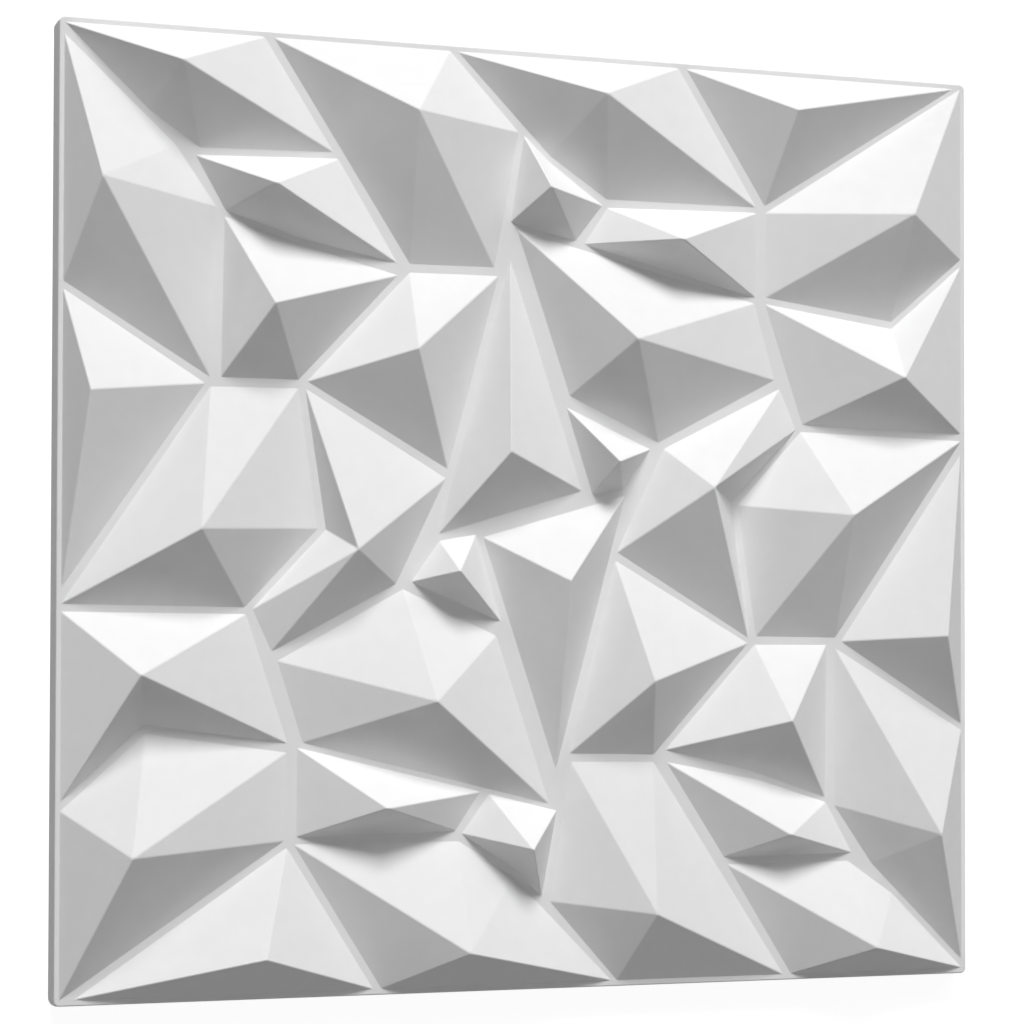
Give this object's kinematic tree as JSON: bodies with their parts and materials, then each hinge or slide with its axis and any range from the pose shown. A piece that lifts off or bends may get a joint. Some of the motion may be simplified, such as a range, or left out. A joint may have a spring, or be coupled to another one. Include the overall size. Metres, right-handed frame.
{
  "type": "3d wall panel tile",
  "caption": "Square white wall panel tile with an irregular faceted relief, a narrow flat rim and a shallow skirt, hollow behind.",
  "frame": {"origin": "middle of the tile on the plane of the skirt's back edge, which is the plane of the wall or floor", "axes": "+Z out of the patterned face; +Y towards the picture's top edge of the tile; +X towards its right edge. Stored lying flat, face up."},
  "size_m": [0.5, 0.5, 0.041],
  "materials": {
    "panel": "matte white, very fine grain"
  },
  "bodies": {
    "root": {"wall_panel": "panel"}
  },
  "joints": []
}
